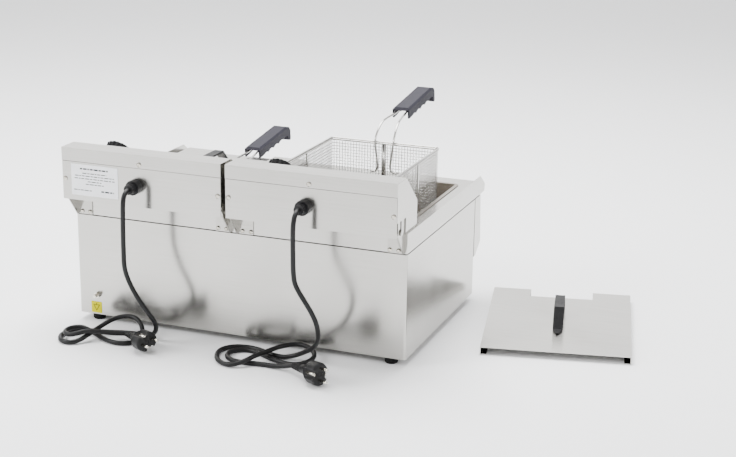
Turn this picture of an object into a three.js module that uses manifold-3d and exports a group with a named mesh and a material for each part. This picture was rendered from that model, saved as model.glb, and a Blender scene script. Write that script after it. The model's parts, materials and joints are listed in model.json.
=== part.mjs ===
// Bench-top double electric deep fryer: two basins under one pressed deck, and two lift-off
// control heads along the rear.
// Millimetres. +X is the operator's right, the front faces -Y, +Z is up.
import * as THREE from "three";
import { mergeVertices } from "three/addons/utils/BufferGeometryUtils.js";
import Module from "manifold-3d";

const wasm = await Module();
wasm.setup();

// ---- driving dimensions ----
const GAP = 0.3; // air left between neighbouring pieces
const SHEET = 1.2; // stainless sheet
const BODY = { halfWidth: 300, halfDepth: 182.5, bottom: 12.5, top: 189.5, cornerRadius: 4 };
const DECK = { apronBottom: 191.5, level: 213, rim: 225, frontEdge: -218 };
const NOSE = { tip: [-210, 225], out: [-238, 205], under: [-235.6, 192.5], back: [-214.6, 191.5] };
const BASIN = { centre: 150, width: 230, front: -177, rear: 172, bottom: 32, lip: 5, cornerRadius: 6 };
const HEAD = { centre: 150.5, halfWidth: 146.5, bottom: 228, top: 316.5, front: 131, rear: 225 };
const SLOPE = { foot: [HEAD.front, 268], brow: [184.6, 316] };
const PIVOT = { y: 202, z: 232, radius: 2.5 };
const BRACKET = { flange: 28, thickness: 1.5, top: 262, rear: 215 };
const KNOB = { offset: 84, radius: 20, height: 18 };
const GLAND = { offset: 8, z: 263, face: 250 };
const BASKET = { width: 200, depth: 226, height: 118, wall: 1.5, rim: 6 };
const RAISED = { front: -115, rimZ: 291.6 };
const LOWERED = { front: -123, rimZ: 186.6 };
const GRIP = { width: 32, wall: 3, crown: 5 };
const LID = { width: 247, depth: 312, height: 12.8, lip: 11, notchWidth: 112, notchDepth: 38 };
const HANDLE = { offset: -4.5, rise: 33, top: 31.5, foot: 61.5, tip: 81.5, width: 17, strap: 3.5 };
const LID_ON_BASIN = { x: 150, y: -28.5, z: 214.6, turn: 0 };
const LID_ON_BENCH = { x: -481.8, y: -101, z: 0, turn: 12 };
const ELEMENT = { radius: 4, z: 56, run: 28, front: -90, rear: 100, legY: 163 };
const CORD_RADIUS = 4;
const PLUG = { length: 77, radius: 18.5, faceZ: 21.9, droop: 7.1 };
const FOOT = { x: 271, y: 167, radius: 11 };

const STEEL = { color: 0xc9c7c3, roughness: 0.35, metalness: 0.9 };
const BRUSHED = { color: 0xb9b7b2, roughness: 0.45, metalness: 0.9 };
const POLISHED = { color: 0xd8d8d8, roughness: 0.2, metalness: 1 };
const BLACK = { color: 0x1b1b1c, roughness: 0.5, metalness: 0 };
const GREY_PLASTIC = { color: 0x53505c, roughness: 0.55, metalness: 0 };
const RUBBER = { color: 0x202020, roughness: 0.8, metalness: 0 };
const PAPER = { color: 0xf2f3f6, roughness: 0.6, metalness: 0 };
const YELLOW = { color: 0xd8d414, roughness: 0.6, metalness: 0 };

const fryer = new THREE.Group();
fryer.name = "deep_fryer";

// ---- solids ----
function solid(geometry) {
  const bare = geometry.clone();
  bare.deleteAttribute("normal");
  bare.deleteAttribute("uv");
  const merged = mergeVertices(bare, 1e-4);
  const mesh = new wasm.Mesh({
    numProp: 3,
    vertProperties: new Float32Array(merged.attributes.position.array),
    triVerts: new Uint32Array(merged.index.array),
  });
  return new wasm.Manifold(mesh);
}

function geometryOf(manifold) {
  const mesh = manifold.getMesh();
  const geometry = new THREE.BufferGeometry();
  geometry.setAttribute("position", new THREE.BufferAttribute(new Float32Array(mesh.vertProperties), 3));
  geometry.setIndex(new THREE.BufferAttribute(new Uint32Array(mesh.triVerts), 1));
  const flat = geometry.toNonIndexed();
  flat.computeVertexNormals();
  return flat;
}

function join(geometries) {
  return geometryOf(geometries.map(solid).reduce((whole, piece) => whole.add(piece)));
}

function cut(geometry, tools) {
  return geometryOf(tools.map(solid).reduce((whole, tool) => whole.subtract(tool), solid(geometry)));
}

function add(name, geometry, finish) {
  const mesh = new THREE.Mesh(geometry, new THREE.MeshStandardMaterial(finish));
  mesh.name = name;
  fryer.add(mesh);
}

// ---- basic forms ----
function block(x0, x1, y0, y1, z0, z1) {
  const geometry = new THREE.BoxGeometry(x1 - x0, y1 - y0, z1 - z0);
  return geometry.translate((x0 + x1) / 2, (y0 + y1) / 2, (z0 + z1) / 2);
}

function polygon(points) {
  return new THREE.Shape(points.map(([u, v]) => new THREE.Vector2(u, v)));
}

// Sends the drawing's axes to Y and Z and the depth to X, so an outline of (y, z) runs along X.
const ALONG_X = new THREE.Matrix4().set(0, 0, 1, 0, 1, 0, 0, 0, 0, 1, 0, 0, 0, 0, 0, 1);

function prismX(points, x0, x1) {
  const geometry = new THREE.ExtrudeGeometry(polygon(points), { depth: x1 - x0, bevelEnabled: false });
  return geometry.applyMatrix4(ALONG_X).translate(x0, 0, 0);
}

function prismZ(shape, z0, z1, curveSegments = 2) {
  const geometry = new THREE.ExtrudeGeometry(shape, { depth: z1 - z0, bevelEnabled: false, curveSegments });
  return geometry.translate(0, 0, z0);
}

function roundedRectangle(x0, x1, y0, y1, radius) {
  const shape = new THREE.Shape();
  shape.moveTo(x0 + radius, y0);
  shape.lineTo(x1 - radius, y0);
  shape.absarc(x1 - radius, y0 + radius, radius, -Math.PI / 2, 0);
  shape.lineTo(x1, y1 - radius);
  shape.absarc(x1 - radius, y1 - radius, radius, 0, Math.PI / 2);
  shape.lineTo(x0 + radius, y1);
  shape.absarc(x0 + radius, y1 - radius, radius, Math.PI / 2, Math.PI);
  shape.lineTo(x0, y0 + radius);
  shape.absarc(x0 + radius, y0 + radius, radius, Math.PI, 1.5 * Math.PI);
  return shape;
}

// A cylinder from one point along a direction.
function rod(from, direction, radius, length, sides = 16) {
  const along = new THREE.Vector3(...direction).normalize();
  const turn = new THREE.Quaternion().setFromUnitVectors(new THREE.Vector3(0, 1, 0), along);
  const geometry = new THREE.CylinderGeometry(radius, radius, length, sides);
  return geometry.translate(0, length / 2, 0).applyQuaternion(turn).translate(...from);
}

// Sheet folded along a line of (y, z) points, its thickness to the left of the line's run.
function foldedSheet(points, x0, x1, thickness = SHEET) {
  const line = points.map(([y, z]) => new THREE.Vector2(y, z));
  const normals = line.slice(1).map((p, i) => {
    const run = p.clone().sub(line[i]).normalize();
    return new THREE.Vector2(-run.y, run.x);
  });
  const inner = line.map((p, i) => {
    const before = normals[Math.max(i - 1, 0)];
    const after = normals[Math.min(i, normals.length - 1)];
    const mitre = before.clone().add(after).normalize();
    return p.clone().addScaledVector(mitre, thickness / mitre.dot(after));
  });
  const outline = [...line, ...inner.reverse()].map((p) => [p.x, p.y]);
  return prismX(outline, x0, x1);
}

// Corner points replaced by short arcs of one bend radius.
function softened(points, bend, steps = 3) {
  const corners = points.map((p) => new THREE.Vector3(...p));
  const route = [corners[0]];
  for (let i = 1; i < corners.length - 1; i += 1) {
    const back = corners[i - 1].clone().sub(corners[i]);
    const ahead = corners[i + 1].clone().sub(corners[i]);
    const reach = Math.min(bend, back.length() * 0.45, ahead.length() * 0.45);
    const from = corners[i].clone().addScaledVector(back.normalize(), reach);
    const to = corners[i].clone().addScaledVector(ahead.normalize(), reach);
    const arc = new THREE.QuadraticBezierCurve3(from, corners[i], to);
    route.push(...arc.getPoints(steps));
  }
  route.push(corners[corners.length - 1]);
  return route;
}

// Round bar swept along a line of points.
function bar(points, radius, sides, steps) {
  const section = new THREE.Shape();
  section.absarc(0, 0, radius, 0, 2 * Math.PI);
  const path = new THREE.CatmullRomCurve3(points, false, "centripetal");
  return new THREE.ExtrudeGeometry(section, {
    steps,
    bevelEnabled: false,
    curveSegments: sides / 2,
    extrudePath: path,
  });
}

// ---- housing ----
// Four walls and the floor, folded and welded from one sheet and open above.
function bodyShell() {
  const { halfWidth: w, halfDepth: d, bottom, top, cornerRadius: r } = BODY;
  const outer = prismZ(roundedRectangle(-w, w, -d, d, r), bottom, top);
  const hollow = roundedRectangle(-w + SHEET, w - SHEET, -d + SHEET, d - SHEET, r - SHEET);
  return cut(outer, [prismZ(hollow, bottom + SHEET, top + 1)]);
}

// Full-width hood folded proud of the housing's front, closed at both ends.
function frontFascia() {
  const wall = -BODY.halfDepth - GAP;
  const profile = [
    [wall, 189.5],
    [-213, 189.5],
    [-220, 102],
    [-213, 97],
    [-191, 82],
    [wall, 81],
  ];
  const w = BODY.halfWidth;
  const ends = [-w, w - SHEET].map((x) => prismX(profile, x, x + SHEET));
  return join([foldedSheet(profile, -w, w), ...ends]);
}

// Deck pressed a step below its side and rear rims, with a rolled nose along the front: the
// outer outline less the air above the deck and the air under it.
function deckTray() {
  const w = BODY.halfWidth;
  const rear = BODY.halfDepth;
  const outline = [[rear, DECK.apronBottom], [rear, DECK.rim], NOSE.tip, NOSE.out, NOSE.under, NOSE.back];
  const above = [
    [rear - SHEET, DECK.rim + 10],
    [rear - SHEET, DECK.level],
    [DECK.frontEdge, DECK.level],
    [-236.6, 204.5],
    [-234.4, 193.2],
    [-233, 180],
    [-250, 180],
    [-250, DECK.rim + 10],
  ];
  const under = [
    [rear - SHEET, DECK.level - SHEET],
    [DECK.frontEdge, DECK.level - SHEET],
    [-235.2, 203.8],
    [-233.3, 194.4],
    [NOSE.back[0], 192.8],
    [NOSE.back[0], 180],
    [rear - SHEET, 180],
  ];
  const air = [above, under].map((profile) => prismX(profile, -w + SHEET, w - SHEET));
  const mouths = [-1, 1].map((side) => {
    const x = side * BASIN.centre;
    const half = BASIN.width / 2;
    const mouth = roundedRectangle(x - half, x + half, BASIN.front, BASIN.rear, BASIN.cornerRadius);
    return prismZ(mouth, DECK.level - 5, DECK.level + 5);
  });
  return cut(prismX(outline, -w, w), [...air, ...mouths]);
}

// Oil basin with a narrow lip that lies on the deck.
function basin(side) {
  const x = side * BASIN.centre;
  const half = BASIN.width / 2 - GAP;
  const front = BASIN.front + GAP;
  const rear = BASIN.rear - GAP;
  const r = BASIN.cornerRadius;
  const lipTop = DECK.level + GAP + 1;
  const outer = roundedRectangle(x - half, x + half, front, rear, r);
  const inner = roundedRectangle(
    x - half + SHEET,
    x + half - SHEET,
    front + SHEET,
    rear - SHEET,
    r - SHEET,
  );
  const e = BASIN.lip;
  const lip = roundedRectangle(x - half - e, x + half + e, front - e, rear + e, r + e);
  const body = join([prismZ(outer, BASIN.bottom, lipTop), prismZ(lip, lipTop - 1, lipTop)]);
  return cut(body, [prismZ(inner, BASIN.bottom + SHEET, lipTop + 1)]);
}

function foot(sideX, sideY) {
  const top = BODY.bottom - GAP;
  const profile = [
    [0, 0],
    [FOOT.radius - 1.5, 0],
    [FOOT.radius, 2],
    [FOOT.radius, top],
    [0, top],
  ].map(([r, z]) => new THREE.Vector2(r, z));
  const geometry = new THREE.LatheGeometry(profile, 16).rotateX(Math.PI / 2);
  return geometry.translate(sideX * FOOT.x, sideY * FOOT.y, 0);
}

// Bonding stud with its hexagon nut, low on the rear wall.
function bondingStud() {
  const wall = BODY.halfDepth + GAP;
  const at = [264, wall, 48];
  return join([rod(at, [0, 1, 0], 5.5, 5, 6), rod(at, [0, 1, 0], 3, 12, 12)]);
}

function label(x, z, width, height, wall) {
  return block(x - width / 2, x + width / 2, wall + GAP, wall + 2 * GAP, z - height / 2, z + height / 2);
}

// ---- head brackets ----
// Angle bracket: a flange on the deck's rear apron and a wing that carries the head's pin in a
// slot open at the top. `end` is +1 where the wing is on the bracket's +X side.
function bracket(wingX, end) {
  const wall = BODY.halfDepth + GAP;
  const t = BRACKET.thickness;
  const x0 = end > 0 ? wingX - BRACKET.flange : wingX;
  const flange = block(x0, x0 + BRACKET.flange, wall, wall + t, DECK.apronBottom, 224.5);
  const wing = [
    [wall, DECK.apronBottom],
    [188, DECK.apronBottom],
    [BRACKET.rear, 227],
    [BRACKET.rear, BRACKET.top],
    [190, BRACKET.top],
    [wall, 246],
  ];
  const wing0 = end > 0 ? wingX - t : wingX;
  const half = PIVOT.radius + GAP;
  const slot = join([
    block(wing0 - 1, wing0 + t + 1, PIVOT.y - half, PIVOT.y + half, PIVOT.z, BRACKET.top + 1),
    rod([wing0 - 1, PIVOT.y, PIVOT.z], [1, 0, 0], half, t + 2, 16),
  ]);
  return cut(join([flange, prismX(wing, wing0, wing0 + t)]), [slot]);
}

// Pan-head screw with a cross recess, its head standing off a wall that faces +Y.
function panScrew(x, wall, z, radius) {
  const rise = radius * 0.6;
  const profile = [
    [0, 0],
    [radius, 0],
    [radius, rise * 0.4],
    [radius * 0.6, rise],
    [0, rise],
  ].map(([r, y]) => new THREE.Vector2(r, y));
  const head = new THREE.LatheGeometry(profile, 10);
  const reach = radius * 0.6;
  const arm = radius * 0.13;
  const recess = [
    block(-reach, reach, rise * 0.5, rise + 1, -arm, arm),
    block(-arm, arm, rise * 0.5, rise + 1, -reach, reach),
  ];
  return cut(head, recess).translate(x, wall + GAP, z);
}

// ---- control head ----
function slopePoint(along, out) {
  const foot = new THREE.Vector2(...SLOPE.foot);
  const run = new THREE.Vector2(...SLOPE.brow).sub(foot).normalize();
  const normal = new THREE.Vector2(-run.y, run.x);
  return foot.addScaledVector(run, along).addScaledVector(normal, out);
}

const SLOPE_LENGTH = new THREE.Vector2(...SLOPE.brow).distanceTo(new THREE.Vector2(...SLOPE.foot));
const SLOPE_OUT = slopePoint(0, 1).sub(slopePoint(0, 0));

function headCase(cx) {
  const x0 = cx - HEAD.halfWidth;
  const x1 = cx + HEAD.halfWidth;
  const endFoot = 226;
  const notch = { y: 183, z: 252 };
  const skin = foldedSheet([SLOPE.brow, SLOPE.foot, [HEAD.front, HEAD.bottom]], x0, x1);
  const end = [
    [HEAD.front, endFoot],
    [notch.y, endFoot],
    [notch.y, notch.z],
    [HEAD.rear - SHEET - GAP, notch.z],
    [HEAD.rear - SHEET - GAP, HEAD.top - SHEET - GAP],
    [SLOPE.brow[0], HEAD.top - SHEET - GAP],
    SLOPE.foot,
  ];
  const ends = [x0, x1 - SHEET].map((x) => prismX(end, x, x + SHEET));
  const lug = [
    [160, HEAD.bottom - SHEET],
    [212, HEAD.bottom - SHEET],
    [212, 258],
    [160, 258],
  ];
  const lugInset = SHEET + 0.5 + BRACKET.thickness + 0.5;
  const floor = block(x0 + lugInset, x1 - lugInset, HEAD.front, 180, HEAD.bottom, HEAD.bottom + SHEET);
  const lugs = [
    prismX(lug, x0 + lugInset, x0 + lugInset + SHEET),
    prismX(lug, x1 - lugInset - SHEET, x1 - lugInset),
  ];
  const pinLength = lugInset + 1;
  const pins = [
    rod([x0 - 0.8, PIVOT.y, PIVOT.z], [1, 0, 0], PIVOT.radius, pinLength + 1, 12),
    rod([x1 + 0.8, PIVOT.y, PIVOT.z], [-1, 0, 0], PIVOT.radius, pinLength + 1, 12),
    rod([x0 - 0.6, PIVOT.y, PIVOT.z], [1, 0, 0], 5, 1.9, 12),
    rod([x1 + 0.6, PIVOT.y, PIVOT.z], [-1, 0, 0], 5, 1.9, 12),
  ];
  const shaft = slopePoint(SLOPE_LENGTH / 2, -5);
  const holes = [
    rod([cx + KNOB.offset, shaft.x, shaft.y], [0, SLOPE_OUT.x, SLOPE_OUT.y], 4.5, 12, 16),
    rod([cx - 3 * ELEMENT.run, ELEMENT.legY, HEAD.bottom - 4], [0, 0, 1], ELEMENT.radius + 0.6, 10, 16),
    rod([cx + 3 * ELEMENT.run, ELEMENT.legY, HEAD.bottom - 4], [0, 0, 1], ELEMENT.radius + 0.6, 10, 16),
    rod([cx + 2 * ELEMENT.run, ELEMENT.legY, HEAD.bottom - 4], [0, 0, 1], 2.6, 10, 12),
    block(cx - 17, cx + 17, 133, 139, 262, 280),
  ];
  return cut(join([skin, floor, ...ends, ...lugs, ...pins]), holes);
}

function headTopCover(cx) {
  const line = [[HEAD.rear, 294], [HEAD.rear, HEAD.top], [SLOPE.brow[0] + 1.3, HEAD.top]];
  return foldedSheet(line, cx - HEAD.halfWidth, cx + HEAD.halfWidth);
}

function headRearCover(cx) {
  const halfWidth = HEAD.halfWidth - 0.4;
  const plate = block(cx - halfWidth, cx + halfWidth, HEAD.rear - SHEET, HEAD.rear, HEAD.bottom, 293.2);
  const hole = rod([cx + GLAND.offset, HEAD.rear - 5, GLAND.z], [0, 1, 0], 8.3, 10, 24);
  return cut(plate, [hole]);
}

function knob(cx) {
  const ribs = 16;
  const outline = [];
  for (let i = 0; i < ribs * 2; i += 1) {
    const angle = (i / (ribs * 2)) * 2 * Math.PI;
    const radius = KNOB.radius - (i % 2 ? 1.6 : 0);
    outline.push([radius * Math.cos(angle), radius * Math.sin(angle)]);
  }
  const body = prismZ(polygon(outline), 2, KNOB.height);
  const pointer = block(-1.5, 1.5, 4, KNOB.radius - 3, KNOB.height - 1, KNOB.height + 1.5);
  const tilt = Math.atan2(-SLOPE_OUT.x, SLOPE_OUT.y);
  const seat = slopePoint(SLOPE_LENGTH / 2, 0);
  return join([body, pointer]).rotateX(tilt).translate(cx + KNOB.offset, seat.x, seat.y);
}

// Thermostat with its shaft, its capillary and the bulb that lies in the oil, one real unit.
function thermostat(cx) {
  const tilt = Math.atan2(-SLOPE_OUT.x, SLOPE_OUT.y);
  const seat = slopePoint(SLOPE_LENGTH / 2, 0);
  const can = block(-17, 17, -13, 13, -26, -2).rotateX(tilt).translate(cx + KNOB.offset, seat.x, seat.y);
  const base = slopePoint(SLOPE_LENGTH / 2, -6);
  const shaft = rod([cx + KNOB.offset, base.x, base.y], [0, SLOPE_OUT.x, SLOPE_OUT.y], 3, 7.6, 12);
  const x = cx + 2 * ELEMENT.run;
  const route = softened(
    [
      [cx + KNOB.offset, 172, 275],
      [cx + KNOB.offset, 180, 250],
      [x, ELEMENT.legY, 242],
      [x, ELEMENT.legY, ELEMENT.z],
      [x, 130, ELEMENT.z],
    ],
    12,
  );
  const capillary = bar(route, 2, 6, 24);
  const bulb = rod([x, 134, ELEMENT.z], [0, -1, 0], 3.6, 90, 12);
  return join([can, shaft, capillary, bulb]);
}

// Tubular element: two legs down the basin's rear wall and four runs just above its floor.
function heatingElement(cx) {
  const { run, front, rear, legY, z } = ELEMENT;
  const turn = (centreX, centreY, forward) => {
    const points = [];
    for (let i = 0; i <= 6; i += 1) {
      const angle = (i / 6) * Math.PI;
      points.push([centreX - run * Math.cos(angle), centreY + forward * run * Math.sin(angle), z]);
    }
    return points;
  };
  const legTop = HEAD.bottom + 26;
  const startX = cx - 3 * run;
  const start = softened([[startX, legY, legTop], [startX, legY, z], [startX, front, z]], 22);
  const end = softened([[cx + 3 * run, front, z], [cx + 3 * run, legY, z], [cx + 3 * run, legY, legTop]], 22);
  const middle = [
    ...turn(cx - 2 * run, front, -1),
    ...turn(cx, rear, 1),
    ...turn(cx + 2 * run, front, -1),
  ].map((p) => new THREE.Vector3(...p));
  const route = [...start.slice(0, -1), ...middle, ...end.slice(1)];
  return bar(route, ELEMENT.radius, 8, 80);
}

// Moulded gland: clamp nut outside the rear cover, threaded neck and back nut inside.
function gland(cx) {
  const x = cx + GLAND.offset;
  const outside = HEAD.rear + GAP;
  const nut = rod([x, outside, GLAND.z], [0, 1, 0], 12.5, 13, 12);
  const dome = rod([x, outside + 13, GLAND.z], [0, 1, 0], 8.5, GLAND.face - outside - 13, 16);
  const neck = rod([x, outside - 14, GLAND.z], [0, 1, 0], 8, 14, 16);
  const backNut = rod([x, outside - 13, GLAND.z], [0, 1, 0], 12, 5, 6);
  return join([nut, dome, neck, backNut]);
}

// ---- baskets ----
// The open wire mesh tub, as its envelope.
function basketMesh(place) {
  const half = BASKET.width / 2;
  const x = place.x;
  const top = place.rimZ - BASKET.rim / 2 - GAP;
  const bottom = top - BASKET.height;
  const y1 = place.front + BASKET.depth;
  const t = BASKET.wall;
  const outer = roundedRectangle(x - half, x + half, place.front, y1, 6);
  const inner = roundedRectangle(x - half + t, x + half - t, place.front + t, y1 - t, 6 - t);
  return cut(prismZ(outer, bottom, top), [prismZ(inner, bottom + t, top + 1)]);
}

// Rim, side and floor bars, rear hanging tab, strap and the two handle wires, welded together.
function basketFrame(place) {
  const { x, front, rimZ } = place;
  const half = BASKET.width / 2;
  const rear = front + BASKET.depth;
  const rimTop = rimZ + BASKET.rim / 2;
  const rimBottom = rimZ - BASKET.rim / 2;
  const outer = roundedRectangle(x - half - 2.5, x + half + 2.5, front - 2.5, rear + 2.5, 8);
  outer.holes.push(roundedRectangle(x - half + 3, x + half - 3, front + 3.5, rear - 3.5, 4));
  const rim = prismZ(outer, rimBottom, rimTop);
  const floor = rimBottom - GAP - BASKET.height - GAP;
  const barY = front + 112;
  const outside = half + GAP;
  const bars = [
    block(x - outside - 3, x - outside, barY - 1.5, barY + 1.5, floor - 3, rimBottom + 1),
    block(x + outside, x + outside + 3, barY - 1.5, barY + 1.5, floor - 3, rimBottom + 1),
    block(x - outside - 3, x + outside + 3, barY - 1.5, barY + 1.5, floor - 3, floor),
  ];
  const inside = front + BASKET.wall + GAP;
  const strap = block(x - 3.5, x + 3.5, inside, inside + 2, rimZ - 90, rimTop - 1);
  const tab = [
    block(x - 15, x + 15, rear - 1, rear + 26, rimZ - 2, rimZ),
    block(x - 15, x + 15, rear + 24, rear + 26, rimZ - 27, rimZ),
  ];
  const wires = [-1, 1].map((side) => {
    const wireY = inside + 2;
    const route = softened(
      [
        [x + side * 26, wireY, rimZ - 51],
        [x + side * 11.5, wireY, rimZ - 51],
        [x + side * 17, wireY, rimZ + 8],
        [x + side * 15.5, front - 20, rimZ + 30],
        [x + side * 10, front - 75, rimZ + 38],
        [x + side * 7.5, front - 120, rimZ + 45],
      ],
      9,
    );
    return bar(route, 2, 6, 30);
  });
  return join([rim, ...bars, strap, ...tab, ...wires]);
}

// Hollow grip, open underneath, with finger ridges and a hooked far end.
function grip(place) {
  const w = GRIP.width / 2;
  const top = 0;
  const ridges = [];
  for (let i = 0; i < 4; i += 1) {
    const s = 118 - i * 24;
    ridges.push([s, -17], [s - 8, -20], [s - 16, -17]);
  }
  const profile = [
    [4, top],
    [126, top],
    [137, -3],
    [143, -11],
    [143, -29],
    [139, -31],
    [134, -29],
    [131, -19],
    ...ridges,
    [14, -19],
    [0, -19],
    [0, -4],
  ];
  const bulk = prismX(profile, -w, w);
  const corner = (side) => {
    const edge = block(-3, 3, -10, 160, -3, 3).rotateY(Math.PI / 4);
    return edge.translate(side * (w + 0.4), 0, 0.4);
  };
  const channel = block(-w + GRIP.wall, w - GRIP.wall, -1, 128, -40, -GRIP.crown);
  const shaped = cut(bulk, [corner(-1), corner(1), channel]);
  // The drawing's length runs forward from the near end, rising with the handle wires.
  const rise = THREE.MathUtils.degToRad(7);
  return shaped
    .rotateZ(Math.PI)
    .rotateX(-rise)
    .translate(place.x, place.front - 80, place.rimZ + 48);
}

// ---- lids ----
function placeLid(geometry, place) {
  return geometry.rotateZ(THREE.MathUtils.degToRad(place.turn)).translate(place.x, place.y, place.z);
}

// Folded lid: side flanges with a lip turned in under them, and front flanges beside the notch
// for the basket handle. The rear edge is open.
function lidPanel(place) {
  const w = LID.width / 2;
  const d = LID.depth / 2;
  const h = LID.height;
  const notch = LID.notchWidth / 2;
  const folds = [
    block(-w, -w + SHEET, -d, d, 0, h),
    block(w - SHEET, w, -d, d, 0, h),
    block(-w, -w + LID.lip, -d, d, 0, SHEET),
    block(w - LID.lip, w, -d, d, 0, SHEET),
    block(-w, -notch, -d, -d + SHEET, 0, h),
    block(notch, w, -d, -d + SHEET, 0, h),
  ];
  const top = block(-w, w, -d, d, h - SHEET, h);
  const opening = block(-notch, notch, -d - 1, -d + LID.notchDepth, -1, h + 1);
  return placeLid(cut(join([top, ...folds]), [opening]), place);
}

// Bow handle of flat strap, its two feet tapered to a tongue.
function lidHandle(place) {
  const seat = LID.height + GAP;
  const halfWidth = HANDLE.width / 2;
  const bow = [
    [HANDLE.tip, HANDLE.strap],
    [HANDLE.foot, HANDLE.strap],
    [HANDLE.top, HANDLE.rise],
    [-HANDLE.top, HANDLE.rise],
    [-HANDLE.foot, HANDLE.strap],
    [-HANDLE.tip, HANDLE.strap],
  ];
  const tongueHalf = 2;
  const corners = [[1, 1], [1, -1], [-1, 1], [-1, -1]].map(([side, end]) => {
    const outline = [
      [side * tongueHalf, end * HANDLE.tip],
      [side * halfWidth, end * HANDLE.foot],
      [side * (halfWidth + 1), end * HANDLE.foot],
      [side * (halfWidth + 1), end * (HANDLE.tip + 1)],
      [side * tongueHalf, end * (HANDLE.tip + 1)],
    ];
    return prismZ(polygon(outline), -1, HANDLE.rise);
  });
  const strap = cut(foldedSheet(bow, -halfWidth, halfWidth, HANDLE.strap), corners);
  return placeLid(strap.translate(0, HANDLE.offset, seat), place);
}

// ---- cords ----
function cordTube(route) {
  return bar(softened(route, 14, 3), CORD_RADIUS, 8, 34);
}

function hank(ax, ay, bx, by, radius, height) {
  const angle = Math.atan2(by - ay, bx - ax);
  const shape = new THREE.Shape();
  shape.absarc(bx, by, radius, angle - Math.PI / 2, angle + Math.PI / 2);
  shape.absarc(ax, ay, radius, angle + Math.PI / 2, angle + 1.5 * Math.PI);
  return prismZ(shape, 0.2, height, 10);
}

// Straight earthed plug lying on the bench, its face centre given and its tail drooping.
function plug(faceX, faceY, headingX, headingY) {
  const profile = [
    [0, 0],
    [4.2, 0],
    [6.5, 24],
    [10, 30],
    [14, 44],
    [PLUG.radius, 52],
    [PLUG.radius, 70],
    [17, PLUG.length],
    [0, PLUG.length],
  ].map(([r, z]) => new THREE.Vector2(r, z));
  const body = new THREE.LatheGeometry(profile, 18);
  const pins = [-9.5, 9.5].map((x) => rod([x, PLUG.length - 1, 0], [0, 1, 0], 2.4, 20, 10));
  const droop = THREE.MathUtils.degToRad(PLUG.droop);
  const away = new THREE.Vector3(headingX, headingY, 0).normalize().multiplyScalar(Math.cos(droop));
  away.z = Math.sin(droop);
  const turn = new THREE.Quaternion().setFromUnitVectors(new THREE.Vector3(0, 1, 0), away);
  const tail = new THREE.Vector3(faceX, faceY, PLUG.faceZ).addScaledVector(away, -PLUG.length);
  return join([body, ...pins]).rotateY(Math.PI / 4).applyQuaternion(turn).translate(...tail.toArray());
}

// ---- assembly ----
function buildHousing() {
  add("body_shell", bodyShell(), STEEL);
  add("front_fascia", frontFascia(), STEEL);
  add("deck_tray", deckTray(), STEEL);
  for (const [tag, side] of [["L", 1], ["R", -1]]) {
    add(`basin_${tag}`, basin(side), BRUSHED);
    add(`foot_front_${tag}`, foot(side, -1), RUBBER);
    add(`foot_rear_${tag}`, foot(side, 1), RUBBER);
  }
  add("bonding_stud", bondingStud(), POLISHED);
  add("bonding_label", label(267, 25, 20, 20, BODY.halfDepth), YELLOW);
}

function buildBrackets(tag, cx) {
  const wall = BODY.halfDepth + GAP + BRACKET.thickness;
  const inset = HEAD.halfWidth - SHEET - 0.5;
  for (const [end, name] of [[1, "plus"], [-1, "minus"]]) {
    const wingX = cx + end * inset;
    add(`bracket_${tag}_${name}`, bracket(wingX, end), BRUSHED);
    [9, 24].forEach((offset, i) => {
      const screw = panScrew(wingX - end * offset, wall, 196.5, 3.6);
      add(`bracket_screw_${tag}_${name}_${i + 1}`, screw, POLISHED);
    });
  }
}

function buildHead(tag, cx) {
  add(`head_${tag}_case`, headCase(cx), STEEL);
  add(`head_${tag}_top_cover`, headTopCover(cx), STEEL);
  add(`head_${tag}_rear_cover`, headRearCover(cx), STEEL);
  add(`head_${tag}_screw_top`, panScrew(cx + 1, HEAD.rear, 300, 4), POLISHED);
  add(`head_${tag}_screw_plus`, panScrew(cx + 141, HEAD.rear, 263, 4), POLISHED);
  add(`head_${tag}_screw_minus`, panScrew(cx - 141, HEAD.rear, 263, 4), POLISHED);
  add(`knob_${tag}`, knob(cx), BLACK);
  add(`thermostat_${tag}`, thermostat(cx), BRUSHED);
  add(`heating_element_${tag}`, heatingElement(cx), BRUSHED);
  add(`gland_${tag}`, gland(cx), BLACK);
}

function buildBasket(tag, place) {
  add(`basket_${tag}_mesh`, basketMesh(place), POLISHED);
  add(`basket_${tag}_frame`, basketFrame(place), POLISHED);
  add(`basket_${tag}_grip`, grip(place), GREY_PLASTIC);
}

function buildLid(tag, place) {
  add(`lid_${tag}`, lidPanel(place), STEEL);
  add(`lid_${tag}_handle`, lidHandle(place), BLACK);
}

function buildCords() {
  const start = GLAND.face + GAP;
  const leftX = HEAD.centre + GLAND.offset;
  const rightX = -HEAD.centre + GLAND.offset;
  const left = [
    [leftX, start, GLAND.z],
    [leftX, 264, GLAND.z],
    [leftX + 2, 264, 235],
    [leftX + 4, 264, 130],
    [leftX - 4, 262, 98],
    [leftX - 14, 254, 66],
    [leftX - 12, 240, 38],
    [leftX + 12, 240, 27],
    [leftX + 40, 250, 26.6],
  ];
  const right = [
    [rightX, start, GLAND.z],
    [rightX, 264, GLAND.z],
    [rightX + 2, 264, 235],
    [rightX + 1, 264, 140],
    [rightX - 14, 262, 100],
    [rightX - 30, 256, 66],
    [rightX - 30, 246, 40],
    [rightX - 8, 240, 27],
    [rightX + 24, 240, 26.6],
  ];
  add("cord_L", cordTube(left), RUBBER);
  add("cord_R", cordTube(right), RUBBER);
  add("cord_coil_L", hank(204, 249, 278, 264, 27, 22), RUBBER);
  add("cord_coil_R", hank(-118, 240, -30, 252, 35, 22), RUBBER);
  add("plug_L", plug(108, 291, -0.827, 0.562), RUBBER);
  add("plug_R", plug(-207, 312, -0.8465, 0.532), RUBBER);
}

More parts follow.
